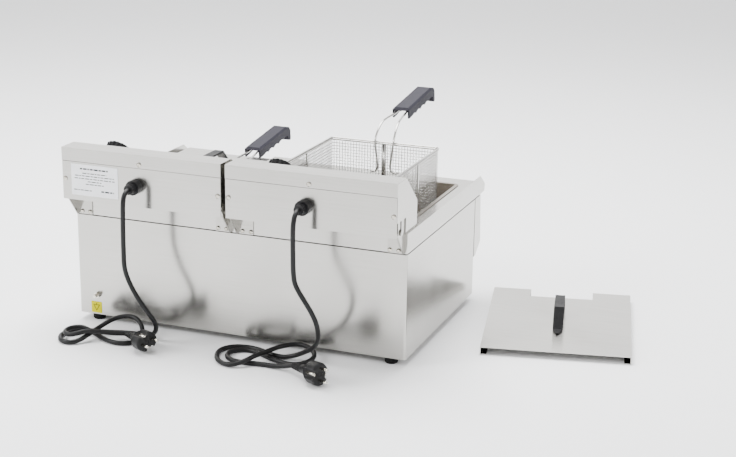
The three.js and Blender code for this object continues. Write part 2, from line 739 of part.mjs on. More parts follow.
buildHousing();
for (const [tag, cx] of [["L", HEAD.centre], ["R", -HEAD.centre]]) {
  buildBrackets(tag, cx);
  buildHead(tag, cx);
}
add("rating_label", label(235.5, 263.5, 88, 53, HEAD.rear), PAPER);
buildBasket("L", { ...LOWERED, x: 150 });
buildBasket("R", { ...RAISED, x: -150 });
buildLid("L", LID_ON_BASIN);
buildLid("R", LID_ON_BENCH);
buildCords();

// The origin is on the bench, under the middle of the box around everything but the cords.
const CORD_NAMES = /^(cord|plug)/;
const extent = new THREE.Box3();
for (const mesh of fryer.children) {
  if (!CORD_NAMES.test(mesh.name)) extent.expandByObject(mesh);
}
const middle = extent.getCenter(new THREE.Vector3());
for (const mesh of fryer.children) mesh.geometry.translate(-middle.x, -middle.y, -extent.min.z);

export default fryer;
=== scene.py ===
# %% [markdown]
# # Double bench fryer, seen from behind
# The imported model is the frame; this script gives it its looks and builds what the frame only
# stands for: the wire baskets, the cords and the plugs.

# %% Load the frame
import json
import math

import bmesh
import bpy
import numpy as np
from mathutils import Matrix, Vector


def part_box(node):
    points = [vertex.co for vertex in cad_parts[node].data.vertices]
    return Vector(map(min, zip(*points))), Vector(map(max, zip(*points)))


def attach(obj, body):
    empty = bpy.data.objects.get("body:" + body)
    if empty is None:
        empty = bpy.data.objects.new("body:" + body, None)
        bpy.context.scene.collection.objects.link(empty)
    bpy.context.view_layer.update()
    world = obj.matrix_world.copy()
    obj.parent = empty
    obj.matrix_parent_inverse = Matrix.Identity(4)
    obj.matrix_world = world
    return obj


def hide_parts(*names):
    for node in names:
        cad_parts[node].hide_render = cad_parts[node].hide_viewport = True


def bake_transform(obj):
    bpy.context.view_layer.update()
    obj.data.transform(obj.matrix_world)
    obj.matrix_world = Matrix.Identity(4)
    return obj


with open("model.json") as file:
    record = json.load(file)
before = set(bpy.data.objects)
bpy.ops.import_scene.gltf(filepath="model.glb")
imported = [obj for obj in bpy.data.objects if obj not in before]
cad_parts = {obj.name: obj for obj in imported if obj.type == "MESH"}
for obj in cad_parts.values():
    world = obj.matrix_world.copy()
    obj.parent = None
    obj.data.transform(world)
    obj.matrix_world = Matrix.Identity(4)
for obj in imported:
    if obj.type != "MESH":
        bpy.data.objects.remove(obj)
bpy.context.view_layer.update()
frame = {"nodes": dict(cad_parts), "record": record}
nodes = frame["nodes"]

shell_low, shell_high = (Vector(c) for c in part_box("body_shell"))
CENTRE = Vector(((shell_low.x + shell_high.x) / 2, (shell_low.y + shell_high.y) / 2, 0))


def at(x, y, z):
    """A point given in millimetres from the housing's middle on the bench."""
    return CENTRE + Vector((x, y, z)) / 1000


# %% [markdown]
# ## Camera
# It looks down on the rear, from the side where the loose lid lies.

# %% Camera
CAMERA_PLACE = (-1051.0, 2336.3, 912.5)
CAMERA_AZIMUTH, CAMERA_ELEVATION, CAMERA_ROLL = (math.radians(v) for v in (200.79, 16.59, 0.78))
back = Vector(
    (
        math.sin(CAMERA_AZIMUTH) * math.cos(CAMERA_ELEVATION),
        -math.cos(CAMERA_AZIMUTH) * math.cos(CAMERA_ELEVATION),
        math.sin(CAMERA_ELEVATION),
    )
)
level = Vector((0, 0, 1)).cross(back).normalized()
upright = back.cross(level)
right = level * math.cos(CAMERA_ROLL) + upright * math.sin(CAMERA_ROLL)
up = upright * math.cos(CAMERA_ROLL) - level * math.sin(CAMERA_ROLL)
camera = bpy.data.objects.new("camera", bpy.data.cameras.new("camera"))
camera.data.sensor_width = 36
camera.data.lens = 74.3
turned = Matrix((right, up, back)).transposed().to_4x4()
camera.matrix_world = Matrix.Translation(at(*CAMERA_PLACE)) @ turned
bpy.context.collection.objects.link(camera)
bpy.context.scene.camera = camera
print("camera at", [round(v, 3) for v in camera.location])

# %% [markdown]
# ## Shared builders

# %% Builders


def smooth_route(points, step=2.5, passes=6):
    """A centripetal Catmull-Rom curve through points in millimetres, sampled and softened."""
    given = np.array(points, float)
    ends = [2 * given[0] - given[1], *given, 2 * given[-1] - given[-2]]
    line = []
    for p0, p1, p2, p3 in zip(ends, ends[1:], ends[2:], ends[3:]):
        t1 = np.linalg.norm(p1 - p0) ** 0.5
        t2 = t1 + np.linalg.norm(p2 - p1) ** 0.5
        t3 = t2 + np.linalg.norm(p3 - p2) ** 0.5
        for t in np.linspace(t1, t2, max(2, int(np.linalg.norm(p2 - p1) / step)), endpoint=False):
            a1 = ((t1 - t) * p0 + t * p1) / t1
            a2 = ((t2 - t) * p1 + (t - t1) * p2) / (t2 - t1)
            a3 = ((t3 - t) * p2 + (t - t2) * p3) / (t3 - t2)
            b1 = ((t2 - t) * a1 + t * a2) / t2
            b2 = ((t3 - t) * a2 + (t - t1) * a3) / (t3 - t1)
            line.append(((t2 - t) * b1 + (t - t1) * b2) / (t2 - t1))
    line.append(given[-1])
    line = np.array(line)
    for _ in range(passes):
        line[1:-1] += 0.5 * ((line[:-2] + line[2:]) / 2 - line[1:-1])
    return [at(*p) for p in line]


def length_of(line):
    return sum((b - a).length for a, b in zip(line, line[1:]))


def curve_piece(name, line, radius, closed=False, sides=3):
    """A round bar as a curve of one poly spline through points in metres."""
    data = bpy.data.curves.new(name, "CURVE")
    data.dimensions = "3D"
    data.bevel_depth = radius
    data.bevel_resolution = sides
    data.use_fill_caps = True
    spline = data.splines.new("POLY")
    spline.points.add(len(line) - 1)
    for point, place in zip(spline.points, line):
        point.co = (*place, 1)
    spline.use_cyclic_u = closed
    piece = bpy.data.objects.new(name, data)
    bpy.context.collection.objects.link(piece)
    return piece


def plain_mesh(name, source):
    """The shown shape of source as a new mesh object at the origin; source is deleted."""
    depsgraph = bpy.context.evaluated_depsgraph_get()
    mesh = bpy.data.meshes.new_from_object(source.evaluated_get(depsgraph), depsgraph=depsgraph)
    mesh.transform(source.matrix_world)
    mesh.name = name
    old = source.data
    bpy.data.objects.remove(source)
    if old.users == 0 and isinstance(old, bpy.types.Curve):
        bpy.data.curves.remove(old)
    piece = bpy.data.objects.new(name, mesh)
    bpy.context.collection.objects.link(piece)
    return piece


def mesh_piece(name, bm, smooth=True):
    bmesh.ops.recalc_face_normals(bm, faces=bm.faces)
    mesh = bpy.data.meshes.new(name)
    bm.to_mesh(mesh)
    bm.free()
    if smooth:
        mesh.shade_smooth()
    piece = bpy.data.objects.new(name, mesh)
    bpy.context.collection.objects.link(piece)
    return piece


def merged(name, parts):
    """Several mesh objects joined into one at the origin."""
    bm = bmesh.new()
    for part in parts:
        bm.from_mesh(part.data)
        mesh = part.data
        bpy.data.objects.remove(part)
        bpy.data.meshes.remove(mesh)
    mesh = bpy.data.meshes.new(name)
    bm.to_mesh(mesh)
    bm.free()
    piece = bpy.data.objects.new(name, mesh)
    bpy.context.collection.objects.link(piece)
    return piece


def lathe(name, profile, turns=40):
    """A solid of revolution about Z from (radius, height) points in millimetres."""
    bm = bmesh.new()
    rings = []
    for radius, height in profile:
        if radius == 0:
            rings.append([bm.verts.new((0, 0, height / 1000))])
            continue
        ring = []
        for i in range(turns):
            angle = 2 * math.pi * i / turns
            x, y = radius * math.cos(angle) / 1000, radius * math.sin(angle) / 1000
            ring.append(bm.verts.new((x, y, height / 1000)))
        rings.append(ring)
    for low, high in zip(rings, rings[1:]):
        for i in range(turns):
            j = (i + 1) % turns
            corners = [low[i % len(low)], low[j % len(low)], high[j % len(high)], high[i % len(high)]]
            bm.faces.new(list(dict.fromkeys(corners)))
    return mesh_piece(name, bm)


def box_piece(name, low, high, bevel=0.0, segments=2):
    """A block between two corners in metres, its edges rounded."""
    bm = bmesh.new()
    bmesh.ops.create_cube(bm, size=1)
    size, middle = Vector(high) - Vector(low), (Vector(low) + Vector(high)) / 2
    for vert in bm.verts:
        vert.co = Vector(a * b for a, b in zip(vert.co, size)) + middle
    if bevel:
        bmesh.ops.bevel(bm, geom=bm.edges[:], offset=bevel, segments=segments, affect="EDGES")
    return mesh_piece(name, bm, smooth=False)


def place(piece, matrix):
    piece.data.transform(matrix)
    return piece


# %% [markdown]
# ## Cords
# Each leaves its gland, droops to the bench and lies there in a loose figure of eight that ends
# in the plug. Millimetres from the housing's middle, along the cord.

# %% Cord routes
CORD_RADIUS = 0.004
CORD_LINES = {
    "L": [
        (158.5, 250.3, 263), (158.4, 257, 262.6), (158.4, 263, 259), (158.5, 266.5, 252),
        (158.8, 268, 242), (159.5, 268, 225), (160.5, 267.5, 195), (161, 267, 165),
        (160, 267, 134), (153, 265, 110), (141, 262.5, 86), (128, 260, 66), (118, 256, 50),
        (114, 251, 38), (117, 246, 26), (125, 240, 16), (136, 232, 9), (150, 226, 5.4),
        (168, 224, 4.4), (186, 226, 4.2), (204, 231, 4.2), (222, 236, 4.2), (240, 239, 4.2),
        (258, 241, 4.2), (274, 250, 4.2), (281, 266, 4.2), (278, 284, 4.2), (267, 299, 4.2),
        (252, 303, 4.2), (239, 295, 5.5), (231, 279, 10), (227, 261, 13.8), (222, 243, 17.5),
        (212, 227, 24), (197, 217, 29), (180, 214, 30), (165, 219, 27), (153, 229, 20.5),
        (146.5, 240, 12.5), (147, 251, 5.6), (154, 262, 4.1), (165, 271, 4.1),
        (180, 274, 4.2), (196, 270, 4.2), (211, 262, 4.2), (226, 254, 4.8), (241, 250, 8.5),
        (256, 250, 12.7), (268, 257, 12.9), (273, 270, 12.9), (269, 284, 12.9),
        (258, 292, 13), (245, 290, 15.5), (231, 281, 19.2), (215, 271, 17.6),
        (199, 261, 14.5), (185, 254, 12.8), (171.2, 248.1, 12.35),
    ],
    "R": [
        (-142.5, 250.3, 263), (-142.5, 257, 262.6), (-142.3, 263, 259), (-142, 266.5, 252),
        (-141.5, 268, 242), (-141, 268, 225), (-141, 267.5, 195), (-141.3, 267, 168),
        (-143.5, 266.5, 149), (-150, 265.5, 135), (-160, 264, 119), (-170, 263, 103),
        (-177.5, 261, 86), (-179.5, 257, 68), (-176, 250, 52), (-168, 242, 39),
        (-156, 234, 28), (-142, 227, 18.5), (-125, 224, 9.5), (-108, 225, 4.8),
        (-90, 224, 4.2), (-72, 217, 4.2), (-52, 209, 4.2), (-30, 207, 4.2), (-8, 215, 4.2),
        (3, 234, 4.2), (-1, 258, 4.2), (-14, 279, 4.2), (-31, 289, 4.2), (-48, 289, 6),
        (-62, 279, 11), (-71, 262, 14.2), (-78, 243, 14.2), (-85, 222, 14), (-97, 202, 14.5),
        (-116, 192, 16.5), (-135, 195, 16), (-151, 207, 13), (-158, 224, 10.5),
        (-151, 241, 7), (-133, 249, 4.4), (-112, 247, 4.2), (-92, 240, 4.2), (-72, 230, 4.2),
        (-54, 221, 4.2), (-36, 219, 4.2), (-21, 227, 4.2), (-15, 243, 4.2), (-21, 260, 4.2),
        (-36, 270, 4.2), (-55, 271, 4.1), (-75, 268, 4.1), (-95, 267, 4.2), (-112, 268, 5.2),
        (-128, 270, 8.6), (-142.3, 271.4, 12.35),
    ],
}
cords = {}
for tag, points in CORD_LINES.items():
    line = smooth_route(points)
    cord = plain_mesh(f"cord_{tag}_flex", curve_piece(f"cord_{tag}_line", line, CORD_RADIUS, sides=4))
    cord.data.shade_smooth()
    cords[tag] = (cord, line)
    print("cord", tag, round(length_of(line), 3), "m,", len(line), "points")

# %% [markdown]
# ## Plugs
# A moulded body with a ribbed tail, two pins, an earth socket and earth strips at the sides.

# %% Plugs
PLUG_FACES = {"L": ((108, 291, 21.9), (-0.827, 0.562)), "R": ((-207, 312, 21.9), (-0.8465, 0.532))}
PLUG_LENGTH, PLUG_DROOP = 77, math.radians(7.1)
PLUG_SPIN = {"L": 22, "R": 80}
PLUG_BODY = [
    (0, 26), (6.6, 26), (7.2, 28), (7.8, 32), (8.8, 37), (10.2, 41), (12.4, 45), (15.2, 48.5),
    (17.4, 51.5), (18.4, 54.5), (18.5, 57), (18.5, 62), (18.5, 68), (18.5, 73.4), (18, 75), (16.8, 76),
    (12, 76.2), (0, 76.2),
]
PLUG_SOCKET = [(0, 73), (2.6, 73), (2.6, 76.6), (3.6, 76.9), (4.2, 76.2), (4.2, 74), (0, 74)]
PLUG_PIN = [(0, 74), (2.4, 74), (2.4, 93), (2, 94.6), (1.1, 95.3), (0, 95.3)]
PIN_HALF_GAP = 9.5
RECESS_DEPTH, RECESS_HALF, RECESS_START, FLATTEN = 9.6, 6.2, 50, 0.86
BEND_TOP, BEND_FOOT = 0.258, 0.110
plugs = {}
plug_metal = {}
for tag, (face, heading) in PLUG_FACES.items():
    away = Vector((*heading, 0)).normalized() * math.cos(PLUG_DROOP)
    away.z = math.sin(PLUG_DROOP)
    side = Vector((0, 0, 1)).cross(away).normalized()
    above = away.cross(side)
    spin = Matrix.Rotation(math.radians(PLUG_SPIN[tag]), 4, "Z")
    turn = Matrix((side, above, away)).transposed().to_4x4()
    frame_at = Matrix.Translation(at(*face) - away * PLUG_LENGTH / 1000) @ turn @ spin

    tail = [(0, 0.6)]
    for i in range(9):
        low = 0.8 + i * 2.9
        swell = 4.9 + 0.28 * i
        tail += [
            (swell, low), (swell + 0.3, low + 0.9), (swell, low + 1.8),
            (swell - 1.1, low + 2.1), (swell - 1.1, low + 2.7),
        ]
    tail += [(7, 27.5), (0, 27.5)]
    body = lathe(f"plug_body_{tag}", PLUG_BODY, 56)
    for vert in body.data.vertices:
        x, y, height = vert.co * 1000
        vert.co.y *= 1 - (1 - FLATTEN) * min(1.0, max(0.0, (height - 40) / 12))
        if height > RECESS_START and abs(x) < RECESS_HALF and abs(y) > RECESS_DEPTH:
            vert.co.y = math.copysign(RECESS_DEPTH / 1000, y)
    socket = lathe(f"plug_socket_{tag}", PLUG_SOCKET, 20)
    plug = merged(f"plug_shell_{tag}", [body, lathe(f"plug_tail_{tag}", tail, 32), socket])
    plug.data.shade_smooth()
    place(plug, frame_at)
    pins = []
    for x in (-PIN_HALF_GAP, PIN_HALF_GAP):
        pin = lathe(f"pin_{x}_{tag}", PLUG_PIN, 20)
        pins.append(place(pin, Matrix.Translation((x / 1000, 0, 0))))
    for side_sign in (-1, 1):
        inner, outer = sorted((side_sign * 0.0094, side_sign * 0.0112))
        strip_low, strip_high = (-0.0024, inner, 0.0515), (0.0024, outer, 0.0768)
        strip = box_piece(f"strip_{side_sign}_{tag}", strip_low, strip_high, 0.0004)
        pins.append(strip)
    metal = merged(f"plug_pins_{tag}", pins)
    metal.data.shade_smooth()
    place(metal, frame_at)
    plugs[tag], plug_metal[tag] = plug, metal
    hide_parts(f"plug_{tag}")
    for piece in (plug, metal):
        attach(piece, "housing")

for tag, (cord, line) in cords.items():
    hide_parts(f"cord_{tag}", f"cord_coil_{tag}")
    bend_from, bend_to = line[0].copy(), line[0].copy()
    bend_from.z, bend_to.z = BEND_TOP, BEND_FOOT
    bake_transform(cord)
print("plugs", {t: len(p.data.polygons) for t, p in plugs.items()})

# %% [markdown]
# ## Wire baskets
# One node tree repeats a bent wire along a line; three uses of it weave each tub.

# %% Wire repeater


def input_id(tree, name):
    return next(i.identifier for i in tree.interface.items_tree if i.name == name and i.in_out == "INPUT")


def wire_repeater():
    tree = bpy.data.node_groups.new("wire_repeater", "GeometryNodeTree")
    face = tree.interface
    face.new_socket("Geometry", in_out="INPUT", socket_type="NodeSocketGeometry")
    face.new_socket("Count", in_out="INPUT", socket_type="NodeSocketInt")
    face.new_socket("Step", in_out="INPUT", socket_type="NodeSocketVector")
    face.new_socket("Radius", in_out="INPUT", socket_type="NodeSocketFloat")
    face.new_socket("Material", in_out="INPUT", socket_type="NodeSocketMaterial")
    face.new_socket("Geometry", in_out="OUTPUT", socket_type="NodeSocketGeometry")
    new, link = tree.nodes.new, tree.links.new
    inputs, output = new("NodeGroupInput"), new("NodeGroupOutput")
    points = new("GeometryNodeMeshLine")
    points.mode = "OFFSET"
    section = new("GeometryNodeCurvePrimitiveCircle")
    section.inputs["Resolution"].default_value = 6
    sweep = new("GeometryNodeCurveToMesh")
    sweep.inputs["Fill Caps"].default_value = True
    spread = new("GeometryNodeInstanceOnPoints")
    realize = new("GeometryNodeRealizeInstances")
    paint = new("GeometryNodeSetMaterial")
    link(inputs.outputs["Count"], points.inputs["Count"])
    link(inputs.outputs["Step"], points.inputs["Offset"])
    link(inputs.outputs["Radius"], section.inputs["Radius"])
    link(inputs.outputs["Geometry"], sweep.inputs["Curve"])
    link(section.outputs["Curve"], sweep.inputs["Profile Curve"])
    link(points.outputs["Mesh"], spread.inputs["Points"])
    link(sweep.outputs["Mesh"], spread.inputs["Instance"])
    link(spread.outputs["Instances"], realize.inputs["Geometry"])
    link(realize.outputs["Geometry"], paint.inputs["Geometry"])
    link(inputs.outputs["Material"], paint.inputs["Material"])
    link(paint.outputs["Geometry"], output.inputs["Geometry"])
    return tree


REPEATER = wire_repeater()


def repeated_wire(name, line, closed, count, step, radius, material):
    data = bpy.data.curves.new(name, "CURVE")
    data.dimensions = "3D"
    spline = data.splines.new("POLY")
    spline.points.add(len(line) - 1)
    for point, spot in zip(spline.points, line):
        point.co = (*spot, 1)
    spline.use_cyclic_u = closed
    wire = bpy.data.objects.new(name, data)
    bpy.context.collection.objects.link(wire)
    modifier = wire.modifiers.new("wires", "NODES")
    modifier.node_group = REPEATER
    settings = {"Count": count, "Step": step, "Radius": radius, "Material": material}
    for key, value in settings.items():
        modifier[input_id(REPEATER, key)] = value
    bpy.context.view_layer.update()
    return plain_mesh(name, wire)


# %% [markdown]
# ## Materials
# Shared effects are node groups that give out masks and values; each material keeps its own shader.

# %% Node groups


def node_tool(tree):
    def make(kind, **settings):
        node = tree.nodes.new(kind)
        for key, value in settings.items():
            if key in node.inputs.keys():
                node.inputs[key].default_value = value
            else:
                setattr(node, key, value)
        return node

    return make


def group(name, sockets_in, sockets_out):
    tree = bpy.data.node_groups.new(name, "ShaderNodeTree")
    kinds = {"v": "NodeSocketVector", "f": "NodeSocketFloat", "c": "NodeSocketColor"}
    for label, kind, default in sockets_in:
        socket = tree.interface.new_socket(label, in_out="INPUT", socket_type=kinds[kind])
        if default is not None:
            socket.default_value = default
    for label, kind in sockets_out:
        tree.interface.new_socket(label, in_out="OUTPUT", socket_type=kinds[kind])
    return tree, tree.nodes.new("NodeGroupInput"), tree.nodes.new("NodeGroupOutput")


def brushed_group():
    """Fine grinding lines along X, with broad soft patches; gives a line mask and a patch mask."""
    tree, given, out = group("brushed_grain", [("Fineness", "f", 1.0)], [("Lines", "f"), ("Patches", "f")])
    make = node_tool(tree)
    link = tree.links.new
    coords = make("ShaderNodeTexCoord")
    facing = make("ShaderNodeSeparateXYZ")
    sideways = make("ShaderNodeMath", operation="ABSOLUTE")
    on_side = make("ShaderNodeMath", operation="GREATER_THAN")
    on_side.inputs[1].default_value = 0.7
    direction = make("ShaderNodeMix", data_type="VECTOR")
    along_x, along_y = (s for s in direction.inputs if s.type == "VECTOR" and s.name in ("A", "B"))
    along_x.default_value, along_y.default_value = (9, 1700, 1700), (1700, 9, 1700)
    stretched = next(s for s in direction.outputs if s.type == "VECTOR")
    link(coords.outputs["Normal"], facing.inputs[0])
    link(facing.outputs["X"], sideways.inputs[0])
    link(sideways.outputs[0], on_side.inputs[0])
    link(on_side.outputs[0], direction.inputs["Factor"])
    stretch = make("ShaderNodeVectorMath", operation="MULTIPLY")
    link(stretched, stretch.inputs[1])
    scale = make("ShaderNodeVectorMath", operation="SCALE")
    lines = make("ShaderNodeTexNoise", Scale=1.0, Detail=3.0, Roughness=0.6)
    patches = make("ShaderNodeTexNoise", Scale=7.0, Detail=2.0, Roughness=0.5)
    link(coords.outputs["Object"], stretch.inputs[0])
    link(stretch.outputs[0], scale.inputs[0])
    link(given.outputs["Fineness"], scale.inputs["Scale"])
    link(scale.outputs[0], lines.inputs["Vector"])
    link(coords.outputs["Object"], patches.inputs["Vector"])
    link(lines.outputs["Fac"], out.inputs["Lines"])
    link(patches.outputs["Fac"], out.inputs["Patches"])
    return tree


def mould_group():
    """Fine moulded grain and faint handling marks; gives a bump height and a wear mask."""
    tree, given, out = group("moulded_grain", [("Scale", "f", 1500.0)], [("Height", "f"), ("Wear", "f")])
    make = node_tool(tree)
    link = tree.links.new
    coords = make("ShaderNodeTexCoord")
    grain = make("ShaderNodeTexNoise", Detail=2.0, Roughness=0.55)
    wear = make("ShaderNodeTexNoise", Scale=45.0, Detail=4.0, Roughness=0.65)
    link(coords.outputs["Object"], grain.inputs["Vector"])
    link(coords.outputs["Object"], wear.inputs["Vector"])
    link(given.outputs["Scale"], grain.inputs["Scale"])
    link(grain.outputs["Fac"], out.inputs["Height"])
    link(wear.outputs["Fac"], out.inputs["Wear"])
    return tree


BRUSHED = brushed_group()
MOULDED = mould_group()


def shader(name):
    material = bpy.data.materials.new(name)
    material.use_nodes = True
    tree = material.node_tree
    principled = next(n for n in tree.nodes if n.type == "BSDF_PRINCIPLED")
    return material, tree, principled


def ranged(tree, source, low, high, socket, start=0.3, stop=0.7):
    span = tree.nodes.new("ShaderNodeMapRange")
    span.inputs["From Min"].default_value = start
    span.inputs["From Max"].default_value = stop
    span.inputs["To Min"].default_value = low
    span.inputs["To Max"].default_value = high
    tree.links.new(source, span.inputs["Value"])
    tree.links.new(span.outputs["Result"], socket)


def shaded_colour(tree, source, dark, light, socket, start=0.3, stop=0.7):
    ramp = tree.nodes.new("ShaderNodeValToRGB")
    ramp.color_ramp.elements[0].position = start
    ramp.color_ramp.elements[0].color = (*dark, 1)
    ramp.color_ramp.elements[1].position = stop
    ramp.color_ramp.elements[1].color = (*light, 1)
    tree.links.new(source, ramp.inputs["Fac"])
    tree.links.new(ramp.outputs["Color"], socket)


def brushed_metal(name, dark, light, rough, bump=0.03, fineness=1.0, streak=0.7):
    material, tree, principled = shader(name)
    grain = tree.nodes.new("ShaderNodeGroup")
    grain.node_tree = BRUSHED
    grain.inputs["Fineness"].default_value = fineness
    principled.inputs["Metallic"].default_value = 1.0
    principled.inputs["Anisotropic"].default_value = streak
    principled.inputs["Anisotropic Rotation"].default_value = 0.25
    tangent = tree.nodes.new("ShaderNodeTangent")
    tangent.direction_type = "RADIAL"
    tangent.axis = "Z"
    tree.links.new(tangent.outputs[0], principled.inputs["Tangent"])
    shaded_colour(tree, grain.outputs["Lines"], dark, light, principled.inputs["Base Color"])
    ranged(tree, grain.outputs["Patches"], rough[0], rough[1], principled.inputs["Roughness"])
    raised = tree.nodes.new("ShaderNodeBump")
    raised.inputs["Strength"].default_value = bump
    raised.inputs["Distance"].default_value = 0.0002
    tree.links.new(grain.outputs["Lines"], raised.inputs["Height"])
    tree.links.new(raised.outputs["Normal"], principled.inputs["Normal"])
    return material


def moulded(name, dark, light, rough, bump=0.08, scale=1500.0, sheen=0.3):
    material, tree, principled = shader(name)
    principled.inputs["Specular IOR Level"].default_value = sheen
    grain = tree.nodes.new("ShaderNodeGroup")
    grain.node_tree = MOULDED
    grain.inputs["Scale"].default_value = scale
    shaded_colour(tree, grain.outputs["Wear"], dark, light, principled.inputs["Base Color"])
    ranged(tree, grain.outputs["Wear"], rough[0], rough[1], principled.inputs["Roughness"])
    raised = tree.nodes.new("ShaderNodeBump")
    raised.inputs["Strength"].default_value = bump
    raised.inputs["Distance"].default_value = 0.0003
    tree.links.new(grain.outputs["Height"], raised.inputs["Height"])
    tree.links.new(raised.outputs["Normal"], principled.inputs["Normal"])
    return material


# %% [markdown]
# ## Materials
# Brushed and bright steels, moulded plastics, rubber and the labels, one for each material slot.

# %% Materials
MATERIALS = {
    "sheet_steel": brushed_metal(
        "sheet_steel", (0.435, 0.426, 0.402), (0.510, 0.500, 0.474), (0.16, 0.24)
    ),
    "bracket_steel": brushed_metal(
        "bracket_steel", (0.37, 0.36, 0.335), (0.47, 0.46, 0.435), (0.18, 0.28)
    ),
    # The basin steel's dark brown tone is painted shade: it stands for the shade deep inside the basins
    # rather than a darker steel.
    "basin_steel": brushed_metal(
        "basin_steel", (0.205, 0.180, 0.150), (0.285, 0.255, 0.215), (0.24, 0.36)
    ),
    "element_steel": brushed_metal(
        "element_steel", (0.16, 0.15, 0.14), (0.26, 0.245, 0.23), (0.35, 0.5), 0.05, 0.3, 0.0
    ),
    "wire_steel": brushed_metal(
        "wire_steel", (0.50, 0.49, 0.47), (0.68, 0.67, 0.65), (0.14, 0.24), 0.03, 0.4, 0.0
    ),
    "bright_steel": brushed_metal(
        "bright_steel", (0.56, 0.53, 0.46), (0.76, 0.73, 0.66), (0.14, 0.24), 0.03, 0.5, 0.0
    ),
    "black_plastic": moulded(
        "black_plastic", (0.004, 0.004, 0.0045), (0.008, 0.008, 0.009), (0.36, 0.5), sheen=0.14
    ),
    "gland_plastic": moulded(
        "gland_plastic", (0.004, 0.004, 0.005), (0.009, 0.009, 0.010), (0.3, 0.45), sheen=0.3
    ),
    "grip_plastic": moulded(
        "grip_plastic", (0.016, 0.015, 0.022), (0.026, 0.0245, 0.034), (0.5, 0.62), 0.15, sheen=0.12
    ),
    "rubber": moulded(
        "rubber", (0.004, 0.004, 0.004), (0.007, 0.007, 0.007), (0.65, 0.85), sheen=0.15
    ),
    "cord_rubber": moulded(
        "cord_rubber", (0.003, 0.003, 0.0033), (0.007, 0.007, 0.0075), (0.36, 0.52), 0.1, sheen=0.26
    ),
    "label_silver": moulded(
        "label_silver", (0.86, 0.87, 0.90), (0.92, 0.93, 0.96), (0.35, 0.45), 0.02
    ),
    "label_yellow": moulded(
        "label_yellow", (0.60, 0.56, 0.0), (0.66, 0.62, 0.0), (0.6, 0.7), 0.02, sheen=0.0
    ),
    "label_ink": moulded(
        "label_ink", (0.008, 0.008, 0.010), (0.020, 0.020, 0.024), (0.5, 0.6), 0.02, sheen=0.1
    ),
}
for entry in frame["record"]["subparts"]:
    obj = nodes[entry["node"]]
    obj.data.materials.clear()
    obj.data.materials.append(MATERIALS[entry["material_slot"]])
for tag in "LR":
    cords[tag][0].data.materials.append(MATERIALS["cord_rubber"])
    plugs[tag].data.materials.append(MATERIALS["cord_rubber"])
    plug_metal[tag].data.materials.append(MATERIALS["bright_steel"])
print("materials", len(MATERIALS))

# %% [markdown]
# ## Folded edges
# Bent sheet and moulded parts get the small rounding of a real edge, in millimetres by node.

# %% Folded edges
EDGE_ROUNDING = {
    "body_shell": 0.5, "front_fascia": 0.5, "deck_tray": 0.45, "lid_L": 0.5, "lid_R": 0.5,
    "lid_L_handle": 1.0, "lid_R_handle": 1.0, "basket_L_grip": 1.6, "basket_R_grip": 1.6,
    "knob_L": 0.7, "knob_R": 0.7, "gland_L": 0.6, "gland_R": 0.6,
    "foot_front_L": 0.6, "foot_front_R": 0.6, "foot_rear_L": 0.6, "foot_rear_R": 0.6,
}
for tag in "LR":
    for part in ("case", "top_cover", "rear_cover"):
        EDGE_ROUNDING[f"head_{tag}_{part}"] = 0.45
    for end in ("plus", "minus"):
        EDGE_ROUNDING[f"bracket_{tag}_{end}"] = 0.4
for node, size in EDGE_ROUNDING.items():
    bevel = nodes[node].modifiers.new("edges", "BEVEL")
    bevel.width = size / 1000
    bevel.segments = 2
    bevel.limit_method = "ANGLE"
    bevel.angle_limit = math.radians(28)
    bevel.harden_normals = True
print("rounded", len(EDGE_ROUNDING))

# %% [markdown]
# ## Baskets
# The tub is woven from three sets of wires; the frame is welded round bar.

# %% Baskets
MESH_PITCH, MESH_WIRE = 0.0053, 0.0006
RIM_WIRE = 0.0015
STRAP_HALF, STRAP_DROP, STRAP_LIP = 0.0035, 0.09, 0.0031
TAB_HALF, TAB_REACH, HOOK_DROP = 0.015, 0.026, 0.0265
# Each handle wire from the strap to the grip: distance from the middle, forward, and up from the rim.
HANDLE_WIRE = [
    (0.026, 0, -0.0515), (0.020, 0, -0.0518), (0.0135, 0, -0.0500), (0.0119, 0, -0.0440),
    (0.0140, 0, -0.0220), (0.0168, 0, -0.002), (0.0172, 0.001, 0.0060), (0.0170, 0.0065, 0.0140),
    (0.0160, 0.0180, 0.0255), (0.0150, 0.0290, 0.0318), (0.0130, 0.0480, 0.0356),
    (0.0100, 0.0760, 0.0380), (0.0086, 0.0960, 0.0410), (0.0075, 0.1180, 0.0445),
]


def rounded_loop(low, high, z, radius, steps=5):
    corners = [
        ((high.x - radius, low.y + radius), -90), ((high.x - radius, high.y - radius), 0),
        ((low.x + radius, high.y - radius), 90), ((low.x + radius, low.y + radius), 180),
    ]
    loop = []
    for (cx, cy), start in corners:
        for i in range(steps + 1):
            angle = math.radians(start + 90 * i / steps)
            loop.append(Vector((cx + radius * math.cos(angle), cy + radius * math.sin(angle), z)))
    return loop


def u_wire(start, across, depth, radius):
    """Down one wall, over the floor and up the other wall, as seen across one axis."""
    unit = across.normalized()
    end = start + across
    drop = Vector((0, 0, -1))
    bend = radius * 0.3
    return [
        start,
        start + drop * (depth - radius),
        start + drop * (depth - bend) + unit * bend,
        start + drop * depth + unit * radius,
        end + drop * depth - unit * radius,
        end + drop * (depth - bend) - unit * bend,
        end + drop * (depth - radius),
        end,
    ]


